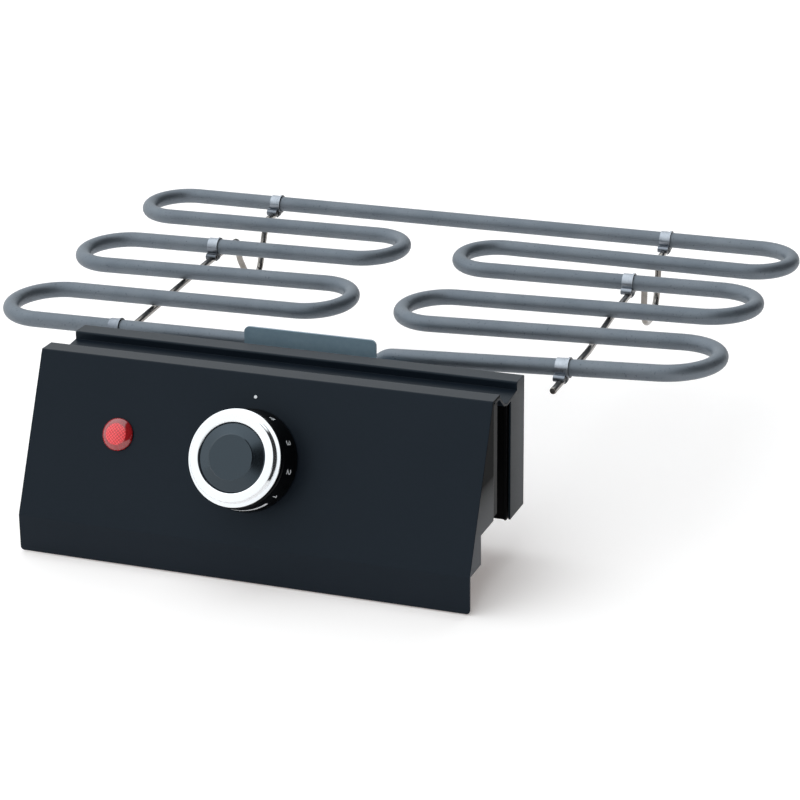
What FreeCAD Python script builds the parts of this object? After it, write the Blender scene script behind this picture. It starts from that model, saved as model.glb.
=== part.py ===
import FreeCAD, Part
import math
import os

from FreeCAD import Vector, Placement, Rotation

# Heating unit of an electric table grill: a control box that hangs on the rim
# of a water tray by the slot between its two casings, and a serpentine heating
# tube that reaches out behind it.
# Frame: X to the right, -Y to the user, Z up, millimetres.
# Origin: middle of the slot's ceiling, where the tray's rim bears.

doc = FreeCAD.newDocument("TableGrill")
ss = doc.addObject("Spreadsheet::Sheet", "Dims")
DIMS = [
    ("half_width", 115.0), ("sheet_t", 1.0),
    ("slot_front", -7.85), ("slot_rear", 7.82),
    ("strip_z", 14.3), ("strip_y", -8.05), ("panel_top_y", -17.85),
    ("knee_y", -51.25), ("knee_z", -59.64), ("skirt_z", -77.9),
    ("side_y", -16.85), ("step_y", -35.05), ("step_z", -45.05),
    ("shelf_z", 7.54), ("rail_y", 17.93), ("rail_z", 11.45),
    ("rear_y", 29.15), ("rear_low_z", -54.72), ("rear_side_y", 8.6),
    ("tongue_y", -9.05), ("tongue_up_z", 13.25),
    ("shell_half", 113.7),
    ("knob_v", 40.9), ("lamp_x", -68.7), ("lamp_v", 36.6), ("dot_v", 10.85),
    ("skirt_r", 24.5), ("ring_r", 23.05), ("cap_r", 16.3), ("cap_top_r", 10.7),
    ("knob_gap", 1.2), ("knob_top", 18.0), ("ring_top", 22.4), ("cap_top", 23.6),
    ("shaft_r", 3.0), ("shaft_hole_r", 5.5), ("lamp_hole_r", 6.0),
    ("lens_r", 7.9), ("lens_top", 5.2),
    ("tube_r", 4.2), ("pitch_y1", 70.03), ("pitch_y2", 116.68), ("pitch_y3", 161.19),
    ("pitch_y4", 206.39), ("pitch_y5", 248.17), ("pitch_y6", 290.11),
    ("left_shift_a", 0.34), ("left_shift_b", 0.04), ("left_shift_c", -0.09), ("left_shift_d", -0.33),
    ("left_shift_e", 0.54), ("right_shift_a", -1.0), ("right_shift_b", 0.5), ("right_shift_c", -0.08),
    ("right_shift_d", 1.18), ("right_shift_e", -0.58),
    ("left_bend_a", 165.7), ("left_bend_b", 38.4), ("left_bend_c", 168.65), ("left_bend_d", 40.6),
    ("left_bend_e", 169.7), ("right_bend_a", 169.4), ("right_bend_b", 36.3), ("right_bend_c", 167.2),
    ("right_bend_d", 36.1), ("right_bend_e", 169.64), ("element_z", 2.25),
    # each row of the mat sits a little high or low and off level: height at the middle, rise per mm
    ("left_lift_a", -2.379), ("left_rise_a", -0.01207), ("left_lift_b", -0.992), ("left_rise_b", -0.00564),
    ("left_lift_c", 0.282), ("left_rise_c", 0.00628), ("left_lift_d", 0.133), ("left_rise_d", 0.00523),
    ("left_lift_e", 0.408), ("left_rise_e", 0.00443), ("left_lift_f", -0.486), ("left_rise_f", 0.00057),
    ("right_lift_a", -2.352), ("right_rise_a", 0.01188), ("right_lift_b", -0.765), ("right_rise_b", 0.0048),
    ("right_lift_c", -0.705), ("right_rise_c", 0.00227), ("right_lift_d", -0.196), ("right_rise_d", 0.00028),
    ("right_lift_e", 0.469), ("right_rise_e", -0.00973), ("right_lift_f", -0.486), ("right_rise_f", 0.00057),
    ("leg_x", 25.5), ("leg_z", -26.0), ("leg_bend_r", 9.0), ("leg_end_y", 20.0),
    ("wire_r", 1.75), ("clip_w", 6.0),
    ("shield_y", 43.15), ("shield_t", 1.2), ("shield_half", 34.8), ("shield_z", 14.7),
    ("cord_r", 3.1), ("plunger_travel", 3.0),
]
for i, (alias, value) in enumerate(DIMS, start=1):
    ss.set("A%d" % i, alias)
    ss.set("B%d" % i, str(value))
    ss.setAlias("B%d" % i, alias)
doc.recompute()


def dim(alias):
    return float(ss.get(alias))


def V(x, y, z):
    return Vector(x, y, z)


NODES = []


def node(obj, label):
    obj.Label = label
    NODES.append(obj)
    return obj


# ---------------------------------------------------------------- sketches
def origin_plane(body, role):
    return [f for f in body.Origin.OriginFeatures if f.Role == role][0]


def sketch_on(body, name, role="YZ_Plane", offset=None):
    sk = body.newObject("Sketcher::SketchObject", name)
    sk.AttachmentSupport = [(origin_plane(body, role), "")]
    sk.MapMode = "FlatFace"
    if offset is not None:
        sk.AttachmentOffset = Placement(V(0, 0, offset), Rotation())
    return sk


def to_number(e):
    """A coordinate is a number or a text made of sheet aliases."""
    if isinstance(e, (int, float)):
        return float(e)
    out = 0.0
    for sign, word in split_terms(e):
        out += sign * (float(word) if is_number(word) else dim(word))
    return out


def is_number(w):
    try:
        float(w)
        return True
    except ValueError:
        return False


def split_terms(e):
    terms = []
    for piece in e.replace("-", "+-").split("+"):
        piece = piece.strip()
        if piece:
            neg = piece.startswith("-")
            terms.append((-1.0 if neg else 1.0, piece.lstrip("-").strip()))
    return terms


def to_expression(e, sign):
    parts = []
    for s, word in split_terms(e):
        s = s * sign
        txt = (word if is_number(word) else "Dims." + word)
        parts.append(("-" if s < 0 else "+") + txt + ("mm" if is_number(word) else "*1mm"))
    return "".join(parts).lstrip("+")


def polygon(sk, pts):
    """Closed outline; each vertex is held by its distances from the origin."""
    vals = [(to_number(a), to_number(b)) for a, b in pts]
    n = len(vals)
    for i in range(n):
        a, b = vals[i], vals[(i + 1) % n]
        sk.addGeometry(Part.LineSegment(V(a[0], a[1], 0), V(b[0], b[1], 0)), False)
    import Sketcher
    for i in range(n):
        sk.addConstraint(Sketcher.Constraint("Coincident", i, 2, (i + 1) % n, 1))
    for i in range(n):
        for k, kind in ((0, "DistanceX"), (1, "DistanceY")):
            v = vals[i][k]
            e = pts[i][k]
            if abs(v) < 1e-9:
                sk.addConstraint(Sketcher.Constraint(
                    "PointOnObject", i, 1, -2 if k == 0 else -1))
                continue
            if v > 0:
                c = sk.addConstraint(Sketcher.Constraint(kind, -1, 1, i, 1, v))
            else:
                c = sk.addConstraint(Sketcher.Constraint(kind, i, 1, -1, 1, -v))
            if isinstance(e, str):
                sk.setExpression("Constraints[%d]" % c, to_expression(e, 1 if v > 0 else -1))


def circles(sk, items):
    import Sketcher
    for cx, cy, r in items:
        x, y, rad = to_number(cx), to_number(cy), to_number(r)
        g = sk.addGeometry(Part.Circle(V(x, y, 0), V(0, 0, 1), rad), False)
        c = sk.addConstraint(Sketcher.Constraint("Radius", g, rad))
        if isinstance(r, str):
            sk.setExpression("Constraints[%d]" % c, to_expression(r, 1))
        for v, kind, e in ((x, "DistanceX", cx), (y, "DistanceY", cy)):
            if abs(v) < 1e-9:
                sk.addConstraint(Sketcher.Constraint(
                    "PointOnObject", g, 3, -2 if kind == "DistanceX" else -1))
                continue
            if v > 0:
                c = sk.addConstraint(Sketcher.Constraint(kind, -1, 1, g, 3, v))
            else:
                c = sk.addConstraint(Sketcher.Constraint(kind, g, 3, -1, 1, -v))
            if isinstance(e, str):
                sk.setExpression("Constraints[%d]" % c, to_expression(e, 1 if v > 0 else -1))


def new_body(label):
    b = doc.addObject("PartDesign::Body", label)
    return node(b, label)


def pad(body, name, pts, length, role="YZ_Plane", mid=True, offset=None, rounds=None, rev=False):
    sk = sketch_on(body, name + "_sketch", role, offset)
    if pts:
        polygon(sk, pts)
    if rounds:
        circles(sk, rounds)
    f = body.newObject("PartDesign::Pad", name)
    f.Profile = sk
    set_length(f, length)
    f.Midplane = mid
    f.Reversed = rev
    doc.recompute()
    return f


def set_length(f, length):
    f.Length = to_number(length)
    if isinstance(length, str):
        f.setExpression("Length", to_expression(length, 1))


def pocket(body, name, pts, length, role="YZ_Plane", mid=True, offset=None, rounds=None, rev=False):
    before = body.Shape.Volume
    sk = sketch_on(body, name + "_sketch", role, offset)
    if pts:
        polygon(sk, pts)
    if rounds:
        circles(sk, rounds)
    f = body.newObject("PartDesign::Pocket", name)
    f.Profile = sk
    set_length(f, length)
    f.Midplane = mid
    f.Reversed = rev
    doc.recompute()
    if not body.Shape.Volume < before - 1e-6:
        raise RuntimeError("pocket %s cuts nothing" % name)
    return f


def revolve(body, name, pts):
    sk = sketch_on(body, name + "_sketch", "XZ_Plane")
    polygon(sk, pts)
    f = body.newObject("PartDesign::Revolution", name)
    f.Profile = sk
    f.ReferenceAxis = (sk, ["V_Axis"])
    f.Angle = 360
    doc.recompute()
    return f


def edges_at(shape, test):
    out = []
    for i, e in enumerate(shape.Edges, start=1):
        if test(e):
            out.append("Edge%d" % i)
    return out


def fillet(body, name, base, radius, test):
    names = edges_at(base.Shape, test)
    if not names:
        raise RuntimeError("fillet %s finds no edge" % name)
    f = body.newObject("PartDesign::Fillet", name)
    f.Base = (base, names)
    f.Radius = radius
    doc.recompute()
    return f


def long_x_edge_at(y, z, tol=0.05, span=20.0):
    def test(e):
        b = e.BoundBox
        return (b.XLength > span and b.YLength < tol and b.ZLength < tol
                and abs(b.YMin - y) < tol and abs(b.ZMin - z) < tol)
    return test


# ---------------------------------------------------------------- part solids
def feature(label, shape, placement=None):
    f = doc.addObject("Part::Feature", label)
    f.Shape = shape
    if placement is not None:
        f.Placement = placement
    return node(f, label)


def box(x0, x1, y0, y1, z0, z1):
    return Part.makeBox(x1 - x0, y1 - y0, z1 - z0, V(x0, y0, z0))


def cyl(p, axis, r, length):
    return Part.makeCylinder(r, length, p, axis)


def round_path(points, radii):
    """Straight runs joined by tangent arcs, in space."""
    pts = [V(*p) for p in points]
    edges = []
    cur = pts[0]
    for i in range(1, len(pts) - 1):
        a, b, c = pts[i - 1], pts[i], pts[i + 1]
        u = (b - a).normalize()
        w = (c - b).normalize()
        turn = u.getAngle(w)
        tl = radii[i - 1] * math.tan(turn / 2)
        s = b - u * tl
        e = b + w * tl
        bis = (w - u).normalize()
        centre = b + bis * (radii[i - 1] / math.cos(turn / 2))
        m = centre - bis * radii[i - 1]
        if (s - cur).Length > 1e-6:
            edges.append(Part.LineSegment(cur, s).toShape())
        edges.append(Part.Arc(s, m, e).toShape())
        cur = e
    edges.append(Part.LineSegment(cur, pts[-1]).toShape())
    return Part.Wire(edges)


def swept(points, radii, r):
    path = round_path(points, radii)
    start = V(*points[0])
    d = (V(*points[1]) - start).normalize()
    ring = Part.Wire([Part.makeCircle(r, start, d)])
    s = path.makePipeShell([ring], True, False)
    want = math.pi * r * r * path.Length
    if abs(s.Volume - want) > 0.01 * want:
        raise RuntimeError("swept tube has the wrong volume %g %g" % (s.Volume, want))
    return s


# ---------------------------------------------------------------- panel frame
# The panel leans back: local X is X, local Y runs up the panel, local Z is its
# outward normal. Local origin: panel centre line, distance v below its top edge.
py0, pz0 = dim("panel_top_y"), dim("strip_z")
pky, pkz = dim("knee_y"), dim("knee_z")
plen = math.hypot(pky - py0, pkz - pz0)
down = V(0, (pky - py0) / plen, (pkz - pz0) / plen)
normal = V(0, down.z, -down.y)
LEAN = math.degrees(math.atan2(-normal.y, normal.z))
PANEL_ROT = Rotation(V(1, 0, 0), LEAN)


def panel_place(x, v, h=0.0):
    p = V(x, py0, pz0) + down * v + normal * h
    return Placement(p, PANEL_ROT)


def on_panel(x, v, h=0.0):
    return V(x, py0, pz0) + down * v + normal * h


KNOB = panel_place(0, dim("knob_v"))
LAMP = panel_place(dim("lamp_x"), dim("lamp_v"))

T = dim("sheet_t")
W = dim("half_width")

# ---------------------------------------------------------------- front cover
front = new_body("front_cover")
pad(front, "front_outer", [
    ("strip_y", "strip_z"), ("panel_top_y", "strip_z"), ("knee_y", "knee_z"),
    ("knee_y", "skirt_z"), ("knee_y+sheet_t", "skirt_z"), ("knee_y+sheet_t", "knee_z"),
    ("step_y", "knee_z"), ("step_y", "step_z"), ("side_y", "step_z"),
    ("side_y", "strip_z-sheet_t"), ("strip_y", "strip_z-sheet_t")],
    "half_width+half_width")
# inside of the panel sheet, parallel to its face
inner = [on_panel(0, 0, -T), on_panel(0, plen, -T)]
du = (inner[1] - inner[0])
ztop = pz0 - T
ytop = inner[0].y + du.y * (ztop - inner[0].z) / du.z
yk = pky + T
zk = inner[0].z + du.z * (yk - inner[0].y) / du.y
fb = pocket(front, "front_inner", [
    (ytop, ztop), (yk, zk), (yk, pkz - 0.001), (yk, pkz - 6.0), (-5.0, pkz - 6.0), (-5.0, ztop)],
    "half_width+half_width-sheet_t-sheet_t")
f1 = fillet(front, "front_folds", fb, 0.9, lambda e: long_x_edge_at(pky, pkz)(e) or long_x_edge_at(py0, pz0)(e))


def skirt_corner(e):
    b = e.BoundBox
    return (b.YLength > 0.5 and b.XLength < 0.01 and b.ZLength < 0.01
            and abs(b.ZMin - dim("skirt_z")) < 0.01 and abs(abs(b.XMin) - W) < 0.01)


f2 = fillet(front, "front_skirt_corners", f1, 1.8, skirt_corner)
# shaft, lamp and screw holes, drilled square to the panel
sk = front.newObject("Sketcher::SketchObject", "front_holes_sketch")
sk.AttachmentSupport = [(origin_plane(front, "XY_Plane"), "")]
sk.MapMode = "FlatFace"
sk.AttachmentOffset = Placement(on_panel(0, dim("knob_v"), 0), PANEL_ROT)
circles(sk, [(0.0, 0.0, "shaft_hole_r"), (-14.0, 0.0, 2.1), (14.0, 0.0, 2.1),
             ("lamp_x", "knob_v-lamp_v", "lamp_hole_r+0.1")])
fh = front.newObject("PartDesign::Pocket", "front_holes")
fh.Profile = sk
fh.Length = 4.0
fh.Midplane = True
doc.recompute()
front.Tip = fh

# ---------------------------------------------------------------- control housing
# dark inner shell: the slot's front wall, stepped floor and side walls
house = new_body("control_housing")
pad(house, "house_outer", [
    ("slot_front", 11.0), ("slot_front", "step_z"), ("step_y+sheet_t", "step_z"),
    ("step_y+sheet_t", "knee_z+0.04"), (-47.8, "knee_z+0.04"), (-18.0, 6.5), (-12.0, 11.0)],
    "shell_half+shell_half")
pocket(house, "house_inner", [
    ("slot_front-sheet_t", 14.0), ("slot_front-sheet_t", "step_z+sheet_t"),
    ("step_y", "step_z+sheet_t"), ("step_y", "knee_z+0.04+sheet_t"),
    (-60.0, "knee_z+0.04+sheet_t"), (-60.0, 14.0)],
    "shell_half+shell_half-sheet_t-sheet_t")
pocket(house, "house_wire_notch", [(-20.0, 1.2), (20.0, 1.2), (20.0, 4.8), (-20.0, 4.8)],
       24.0, role="XZ_Plane")
pocket(house, "house_plunger_hole", None, 24.0, role="XZ_Plane", rounds=[(60.0, -14.0, 2.7)])
pocket(house, "house_gland_hole", None, 130.0, role="XY_Plane", rounds=[(-92.0, -41.5, 4.7)])
house.Tip = house.Group[-1]

# ---------------------------------------------------------------- rear cover
rear = new_body("rear_cover")
pad(rear, "rear_outer", [
    (-15.0, "strip_z-1.05"), (-8.3, "strip_z-1.05"), (-1.4, 7.5), (3.4, 6.2), ("rail_y", "shelf_z"),
    ("rail_y", "rail_z"), ("rear_y", "rail_z"), ("rear_y", "rear_low_z"), ("rear_side_y", "rear_low_z"),
    ("rear_side_y", 5.35), (3.0, 5.1), (-1.9, 6.4), (-8.9, "strip_z-2.1"), (-15.0, "strip_z-2.1")],
    "half_width+half_width")
rp = pocket(rear, "rear_inner", [
    (8.0, 5.3), (17.6, 6.45), ("rail_y+sheet_t", 6.45),
    ("rail_y+sheet_t", "rail_z-sheet_t"), ("rear_y-sheet_t", "rail_z-sheet_t"),
    ("rear_y-sheet_t", -70.0), (8.0, -70.0)],
    "half_width+half_width-sheet_t-sheet_t")
rf = fillet(rear, "rear_folds", rp, 0.9, lambda e: (
    long_x_edge_at(dim("rail_y"), dim("rail_z"))(e) or long_x_edge_at(dim("rear_y"), dim("rail_z"))(e)))
pocket(rear, "rear_leg_holes", None, 62.0, role="XZ_Plane",
       rounds=[("leg_x", "leg_z", 6.1), ("-leg_x", "leg_z", 6.1),
               (95.0, -46.0, 1.65), (-95.0, -46.0, 1.65), (95.0, 0.0, 1.65), (-95.0, 0.0, 1.65),
               (22.0, -45.0, 1.65), (-22.0, -45.0, 1.65)])
rear.Tip = rear.Group[-1]

# ---------------------------------------------------------------- slot rear wall
plate = new_body("slot_rear_plate")
SR = dim("slot_rear")
pad(plate, "plate_outer", [
    ("slot_rear", 4.95), ("slot_rear", "rear_low_z"), (18.0, "rear_low_z"), (18.0, 4.95)],
    "shell_half-0.3+shell_half-0.3")
pocket(plate, "plate_inner", [
    ("slot_rear+sheet_t", 8.0), ("slot_rear+sheet_t", -70.0), (20.0, -70.0), (20.0, 8.0)],
    "shell_half-0.3+shell_half-0.3-sheet_t-sheet_t")
for side in (-1, 1):
    pad(plate, "plate_bead_" + ("left" if side < 0 else "right"), [
        ("slot_rear-0.9", 4.5), ("slot_rear-0.9", "rear_low_z"), ("slot_rear+0.2", "rear_low_z"),
        ("slot_rear+0.2", 4.5)], 1.1, offset=side * (dim("shell_half") - 0.85))
pocket(plate, "plate_wire_notch", [(-20.0, 1.2), (20.0, 1.2), (20.0, 8.0), (-20.0, 8.0)],
       24.0, role="XZ_Plane")
plate.Tip = plate.Group[-1]

# ---------------------------------------------------------------- slot ceiling
duct = new_body("slot_ceiling")
d0 = pad(duct, "duct_outer", [("slot_front+0.03", 0.0), ("slot_rear-0.03", 0.0),
                              ("slot_rear-0.03", 4.95), ("slot_front+0.03", 4.95)], 212.0)
d1 = fillet(duct, "duct_rounds", d0, 2.4, lambda e: (
    long_x_edge_at(dim("slot_front") + 0.03, 0.0)(e) or long_x_edge_at(SR - 0.03, 0.0)(e)))
pocket(duct, "duct_inner", [(-4.8, 1.0), (4.8, 1.0), (6.8, 2.6), (6.8, 8.0), (-6.8, 8.0), (-6.8, 2.6)], 210.0)
pocket(duct, "duct_notches", [(-20.0, 1.2), (20.0, 1.2), (20.0, 8.0), (-20.0, 8.0)],
       24.0, role="XZ_Plane")
duct.Tip = duct.Group[-1]

# ---------------------------------------------------------------- rear floor
rfloor = new_body("rear_bottom_plate")
pad(rfloor, "floor_sheet", [("slot_rear+sheet_t+0.2", "rear_low_z"), ("rear_y-sheet_t-0.2", "rear_low_z"),
                            ("rear_y-sheet_t-0.2", "rear_low_z+9"), ("rear_y-sheet_t-1.2", "rear_low_z+9"),
                            ("rear_y-sheet_t-1.2", "rear_low_z+1"), ("slot_rear+sheet_t+0.2", "rear_low_z+1")],
    "shell_half+shell_half-4")
pocket(rfloor, "floor_screw_holes", None, 62.0, role="XZ_Plane",
       rounds=[(22.0, -46.5, 3.0), (-22.0, -46.5, 3.0), (95.0, -46.0, 3.3), (-95.0, -46.0, 3.3)])
pocket(rfloor, "floor_vents", [(-60.0, 12.0), (-52.0, 12.0), (-52.0, 24.0), (-60.0, 24.0)], 120.0, role="XY_Plane")
pocket(rfloor, "floor_vents_b", [(52.0, 12.0), (60.0, 12.0), (60.0, 24.0), (52.0, 24.0)], 120.0, role="XY_Plane")
rfloor.Tip = rfloor.Group[-1]

# ---------------------------------------------------------------- heat shield
shield = new_body("element_bracket")
SY, ST = dim("shield_y"), dim("shield_t")
s0 = pad(shield, "shield_profile", [
    ("shield_y", "shield_z"), ("shield_y", -36.8), ("rear_y+0.02", -36.8), ("rear_y+0.02", -52.0),
    ("rear_y+0.02+shield_t", -52.0), ("rear_y+0.02+shield_t", -38.0), ("shield_y+shield_t", -38.0),
    ("shield_y+shield_t", "shield_z")], "shield_half+shield_half")


def shield_corner(e):
    b = e.BoundBox
    return (b.YLength > 0.5 and b.XLength < 0.01 and b.ZLength < 0.01
            and abs(b.ZMin - dim("shield_z")) < 0.01)


s1 = fillet(shield, "shield_corners", s0, 2.8, shield_corner)
pocket(shield, "shield_leg_holes", None, 100.0, role="XZ_Plane",
       rounds=[("leg_x", "leg_z", "tube_r+0.15"), ("-leg_x", "leg_z", "tube_r+0.15"), (22.0, -45.0, 1.65), (-22.0, -45.0, 1.65)])
shield.Tip = shield.Group[-1]

# ---------------------------------------------------------------- heating tube
RY = [dim("pitch_y%d" % i) for i in range(1, 7)]
Z0 = dim("element_z")


def tube_z(x, y):
    """The tube mat is a few millimetres out of flat, most at its front row."""
    t = (RY[5] - y) / 235.0
    u = x / 170.0
    if x < 0:
        return Z0 - 2.19 * t + 4.45 * t * u + 0.30 * u
    return Z0 - 4.31 * t + 7.14 * t * u + 0.30 * u


def row_z(who, i, x):
    rows = {"left": left_y, "right": right_y}[who]
    return tube_z(x, rows[i]) + dim("%s_lift_%s" % (who, "abcdef"[i])) + dim("%s_rise_%s" % (who, "abcdef"[i])) * x


left_y = [RY[i] + dim("left_shift_%s" % "abcde"[i]) for i in range(5)] + [RY[5]]
right_y = [RY[i] + dim("right_shift_%s" % "abcde"[i]) for i in range(5)] + [RY[5]]


def half_path(side):
    """From the terminal leg along the five rows of one half to the rear bar."""
    who = "left" if side < 0 else "right"
    rows = [RY[i] + dim("%s_shift_%s" % (who, "abcde"[i])) for i in range(5)] + [RY[5]]
    lx, lz = side * dim("leg_x"), dim("leg_z")
    pts = [(lx, dim("leg_end_y"), lz), (lx, rows[0], lz), (lx, rows[0], row_z(who, 0, lx))]
    rad = [dim("leg_bend_r"), dim("leg_bend_r")]
    outer = True
    for i in range(5):
        ya, yb = rows[i], rows[i + 1]
        r = (yb - ya) / 2 - 0.02
        x = side * (dim("%s_bend_%s" % (who, "abcde"[i])) + (r if outer else -r))
        pts += [(x, ya, row_z(who, i, x)), (x, yb, row_z(who, i + 1, x))]
        rad += [r * 0.995, r * 0.995]
        outer = not outer
    return pts, rad, rows


lp, lr, left_rows = half_path(-1)
rp_, rr_, right_rows = half_path(1)
# the rear bar joins both halves: its left end is already the last point of the
# left half, its right end the last point of the right half
el_pts = lp + rp_[::-1]
el_rad = lr + rr_[::-1]
element = feature("heating_tube", swept(el_pts, el_rad, dim("tube_r")))

for side, name in ((-1, "left"), (1, "right")):
    lx, lz, ly = side * dim("leg_x"), dim("leg_z"), dim("leg_end_y")
    seal = Part.makeCylinder(3.6, 2.4, V(lx, ly - 2.4, lz), V(0, 1, 0)).cut(
        Part.makeCylinder(1.27, 5.0, V(lx, ly - 4, lz), V(0, 1, 0)))
    feature("element_seal_" + name, seal)
    feature("terminal_pin_" + name, Part.makeCylinder(1.25, ly - 12.2, V(lx, 12.2, lz), V(0, 1, 0)))
    bush = Part.makeCylinder(6.0, 10.5, V(lx, 25.5, lz), V(0, 1, 0))
    bush = bush.fuse(Part.makeCylinder(7.6, 1.5, V(lx, 26.6, lz), V(0, 1, 0)))
    bush = bush.cut(Part.makeCylinder(dim("tube_r") + 0.02, 20.0, V(lx, 20, lz), V(0, 1, 0)))
    feature("leg_bushing_" + name, bush.removeSplitter())


def hexagon(centre, across, height, bore, axis=V(0, 1, 0)):
    r = across / math.sqrt(3.0)
    pts = [V(r * math.cos(math.radians(60 * k + 30)), 0, r * math.sin(math.radians(60 * k + 30))) for k in range(6)]
    pts = [centre + p for p in pts]
    wire = Part.makePolygon(pts + [pts[0]])
    s = Part.Face(wire).extrude(axis * height)
    return s.cut(Part.makeCylinder(bore, height + 2, centre - axis, axis))


nuts = [hexagon(V(s * dim("leg_x"), dim("rear_y") + 0.02, dim("leg_z")), 17.0, 4.5, 6.05) for s in (-1, 1)]
feature("leg_nuts", Part.makeCompound(nuts))


# ---------------------------------------------------------------- support wires
WR = dim("wire_r")
DROP = dim("tube_r") + WR + 0.12


def right_wire():
    """Under rows 1 to 4 with a slight set, a hanging loop behind row 4, then under row 6."""
    za, zb = row_z("right", 0, 122.5) - DROP, row_z("right", 3, 117.7) - DROP
    sl = (zb - za) / (right_rows[3] - right_rows[0])

    def z(y):
        return za + sl * (y - right_rows[0])

    zc = row_z("right", 5, 116.0) - DROP
    pts = [(122.5, 51.0, z(51.0)), (122.5, 112.0, z(112.0)), (118.0, 181.0, z(181.0)), (117.3, 238.5, z(238.5)),
           (116.0, 243.0, -34.6), (115.6, 270.5, -34.6), (115.8, 274.0, zc), (115.9, 296.5, zc)]
    return pts, [150.0, 150.0, 9.0, 13.0, 13.0, 7.0]


def left_wire():
    za, zb = row_z("left", 0, -117.6) - DROP, row_z("left", 3, -122.6) - DROP
    sl = (zb - za) / (left_rows[3] - left_rows[0])

    def z(y):
        return za + sl * (y - left_rows[0])

    zc = row_z("left", 5, -120.3) - DROP
    pts = [(-117.2, 58.0, z(58.0)), (-122.6, 188.0, z(188.0)), (-122.3, 238.8, z(238.8)), (-121.6, 235.5, -15.0),
           (-121.2, 249.5, -34.2), (-120.9, 262.5, -34.2), (-120.5, 274.6, zc), (-120.2, 296.5, zc)]
    return pts, [300.0, 4.0, 9.0, 8.0, 10.0, 5.0]


rw, rwr = right_wire()
lw, lwr = left_wire()
wire_right = swept(rw, rwr, WR)
wire_left = swept(lw, lwr, WR)
for end, w in (("right", wire_right), ("left", wire_left)):
    ends = [e for e in w.Edges if e.Closed and abs(e.Length - 2 * math.pi * WR) < 0.01
            and (e.BoundBox.YMax < 60 or e.BoundBox.YMin > 290)]
    w = w.makeFillet(0.6, ends)
    feature("support_wire_" + end, w)


def line_x(a, b, y):
    """Where a straight run of the wire crosses depth y."""
    a, b = V(*a), V(*b)
    f = (y - a.y) / (b.y - a.y)
    return a + (b - a) * f, (b - a).normalize()


def clip(who, i, x, run, ear_angle, width=None):
    """Steel band round the tube with a lip on its outer edge, a loop that holds the wire, and the
    band's ends rolled up into an ear at its lower front."""
    rows = left_rows if who == "left" else right_rows
    y = rows[i]
    z = row_z(who, i, x)
    slope = (row_z(who, i, x + 1) - row_z(who, i, x - 1)) / 2.0
    ax = V(1, 0, slope).normalize()
    c = V(x, y, z)
    w = width or dim("clip_w")
    at, wd = line_x(run[0], run[1], y)
    r = dim("tube_r")
    tube = Part.makeCylinder(r + 0.05, w + 30, c - ax * (w / 2 + 15), ax)
    wire = Part.makeCylinder(WR + 0.05, 60.0, at - wd * 30.0, wd)
    band = Part.makeCylinder(r + 0.5, w, c - ax * (w / 2), ax).fuse(
        Part.makeCylinder(r + 0.95, 0.8, c + ax * (w / 2 - 0.8), ax)).cut(tube).cut(wire)
    neck = box(at.x - 1.6, at.x + 1.6, y - 1.3, y + 1.3, at.z - 0.2, z - 1.0)
    loop = Part.makeCylinder(WR + 0.55, 2.6, at - wd * 1.3, wd).fuse(neck).cut(wire).cut(tube).cut(
        box(at.x - 0.4, at.x + 0.4, y - 2, y + 2, at.z - WR - 2, at.z))
    # the rolled ear, lying on the wire just in front of the tube and notched by it
    t = math.radians(ear_angle)
    out = V(0, -math.cos(t), -math.sin(t))
    at2, _ = line_x(run[0], run[1], y + out.y * 6.6)
    x0, x1 = at2.x - 3.5, at2.x + 2.3
    roll = Part.makeCylinder(1.8, x1 - x0, V(x0, y, z) + out * 6.6, V(1, 0, 0))
    web = Part.makeBox(x1 - x0, 1.5, 4.2, V(0, -0.75, 0))
    web.Placement = Placement(V(x0, y, z) + out * 3.0, Rotation(V(1, 0, 0), V(0, out.z, -out.y), out, "XZY"))
    ear = web.fuse(roll).cut(Part.makeCylinder(0.95, 30.0, V(x0 - 10, y, z) + out * 6.6, V(1, 0, 0)))
    ear = ear.cut(tube).cut(wire)
    s = ear.fuse(band).fuse(loop).removeSplitter()
    if s.common(wire).Volume > 0.01 or s.common(tube).Volume > 0.01:
        raise RuntimeError("clip on row %d %s is not bored" % (i, who))
    whole = max(s.Solids, key=lambda k: k.Volume)
    if whole.Volume < 0.96 * s.Volume:
        raise RuntimeError("clip on row %d %s falls apart: %s" % (i, who, [k.Volume for k in s.Solids]))
    return whole


feature("element_clips_right", Part.makeCompound([
    clip("right", 0, 122.6, rw[0:2], 38, 6.8), clip("right", 3, 117.0, rw[2:4], 31),
    clip("right", 5, 115.7, rw[6:8], 41)]))
feature("element_clips_left", Part.makeCompound([
    clip("left", 0, -118.6, lw[0:2], 45), clip("left", 3, -122.6, lw[1:3], 50),
    clip("left", 5, -119.6, lw[6:8], 41)]))

# ---------------------------------------------------------------- knob
knob = new_body("knob_body")
revolve(knob, "knob_profile", [
    (0.0, "knob_top"), (0.0, 14.5), ("shaft_r+0.05", 14.5), ("shaft_r+0.05", 4.0), (5.6, 4.0),
    (5.6, 15.5), (20.4, 15.5), (20.9, 13.4), (22.6, "knob_gap"), ("skirt_r", "knob_gap"),
    ("skirt_r-0.15", 3.2), (22.95, 13.9), (22.6, 14.3), (22.6, "knob_top")])
knob.Placement = KNOB

ring = new_body("knob_ring")
revolve(ring, "ring_profile", [
    ("cap_r+0.05", "knob_top"), ("ring_r-0.25", "knob_top"), ("ring_r", 18.25), ("ring_r", 18.6),
    ("ring_r-0.15", 18.75), (21.15, 18.85), (21.0, 22.2), (20.8, "ring_top"), (17.2, "ring_top"), (16.7, 22.25), ("cap_r+0.05", 21.7)])
ring.Placement = KNOB

cap = new_body("knob_cap")
revolve(cap, "cap_profile", [
    (0.0, "knob_top"), ("cap_r", "knob_top"), ("cap_r", 21.3), (15.9, 21.7), ("cap_top_r+0.3", 23.35),
    ("cap_top_r", "cap_top"), (0.0, "cap_top")])
cap.Placement = KNOB

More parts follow.
